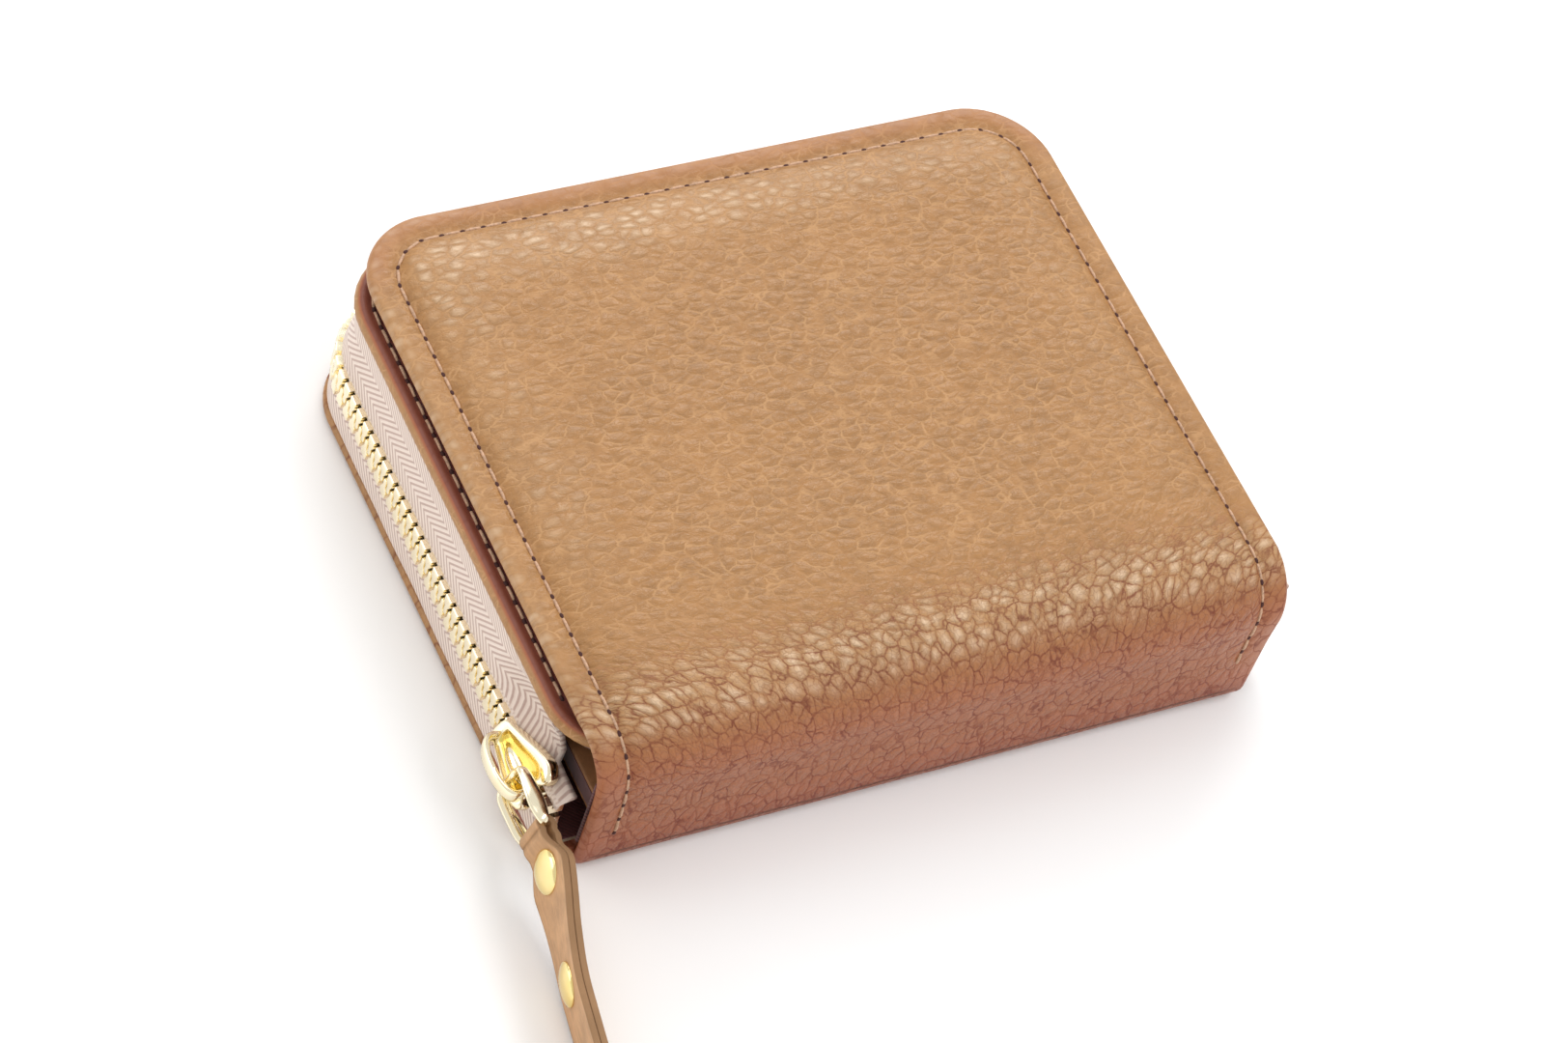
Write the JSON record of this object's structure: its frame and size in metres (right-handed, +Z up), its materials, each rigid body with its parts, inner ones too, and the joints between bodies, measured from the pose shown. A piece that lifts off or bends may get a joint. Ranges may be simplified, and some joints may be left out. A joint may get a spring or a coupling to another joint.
{
  "type": "zip around wallet",
  "caption": "Compact zip around wallet in tan pebbled leather with an outer flap, metal zip on three sides, leather pull strap, coin pouch and card slots.",
  "frame": {"origin": "centre of the flat bottom face, on the surface it stands on", "axes": "+X along the spine to the right, +Y from the spine to the back, +Z up through the flap"},
  "size_m": [0.1297, 0.1511, 0.0296],
  "materials": {
    "case_leather": "tan pebbled grain leather, semi-gloss",
    "strap_leather": "smooth tan leather with raw fibrous edges",
    "pocket_leather": "thin smooth tan leather, satin",
    "lining": "brown woven lining",
    "zip_tape": "cream herringbone woven tape",
    "gold_metal": "polished pale gold plating",
    "stiffener": "grey-brown fibre board, hidden",
    "foam": "soft white foam, hidden"
  },
  "bodies": {
    "lower": {"bottom_cover": "case_leather", "bottom_board": "stiffener", "lower_lining": "lining", "lower_zip_tape": "zip_tape", "lower_zip_teeth": "gold_metal", "lower_end_stops": "gold_metal", "card_panel": "pocket_leather", "card_pocket_1": "pocket_leather", "card_pocket_2": "pocket_leather", "card_pocket_3": "pocket_leather"},
    "spine": {"spine_cover": "case_leather", "spine_board": "stiffener", "spine_lining": "lining", "coin_pouch_lower_wall": "lining", "coin_pouch_upper_wall": "lining", "coin_pouch_gusset": "lining", "coin_zip_tape": "zip_tape", "coin_zip_coil": "gold_metal"},
    "coin_slider": {"coin_slider_body": "gold_metal", "coin_slider_pull": "gold_metal"},
    "shell": {"shoulder_cover": "case_leather", "shell_cover": "case_leather", "shell_board": "stiffener", "shell_lining": "lining", "upper_zip_tape": "zip_tape", "upper_zip_teeth": "gold_metal", "upper_end_stops": "gold_metal", "slip_panel": "pocket_leather", "slip_pocket_1": "pocket_leather", "slip_pocket_2": "pocket_leather"},
    "flap": {"flap_cover": "case_leather", "flap_padding": "foam", "flap_lining": "lining", "flap_pocket": "pocket_leather"},
    "slider": {"slider_outer_plate": "gold_metal", "slider_inner_plate": "gold_metal", "slider_divider": "gold_metal", "slider_crown": "gold_metal"},
    "pull_link": {"pull_link": "gold_metal"},
    "pull_strap": {"pull_strap": "strap_leather", "rivet_caps": "gold_metal", "rivet_posts": "gold_metal"}
  },
  "joints": [
    {"name": "spine_lean", "type": "hinge", "parent": "lower", "child": "spine", "pos_m": [0, -0.0475, 0], "axis": [1, 0, 0], "range_deg": [0, 42]},
    {"name": "shell_open", "type": "hinge", "parent": "spine", "child": "shell", "pos_m": [0, -0.0475, 0.018], "axis": [1, 0, 0], "range_deg": [0, 48]},
    {"name": "flap_open", "type": "hinge", "parent": "shell", "child": "flap", "pos_m": [0, -0.0395, 0.0272], "axis": [1, 0, 0], "range_deg": [0, 95]},
    {"name": "slider_slide", "type": "slide", "parent": "lower", "child": "slider", "axis": [0, 1, 0], "range_m": [0, 0.058]},
    {"name": "link_swing", "type": "hinge", "parent": "slider", "child": "pull_link", "pos_m": [-0.06165, -0.0368, 0.0096], "axis": [0, 0, -1], "range_deg": [0, 120]},
    {"name": "strap_swing", "type": "hinge", "parent": "pull_link", "child": "pull_strap", "pos_m": [-0.0611, -0.0454, 0.0096], "axis": [0, 0, -1], "range_deg": [-4, 45]},
    {"name": "coin_slide", "type": "slide", "parent": "spine", "child": "coin_slider", "axis": [1, 0, 0], "range_m": [0, 0.074]}
  ],
  "couplings": [
    {"joint": "spine_lean", "follows": "shell_open", "ratio": 0.875}
  ]
}
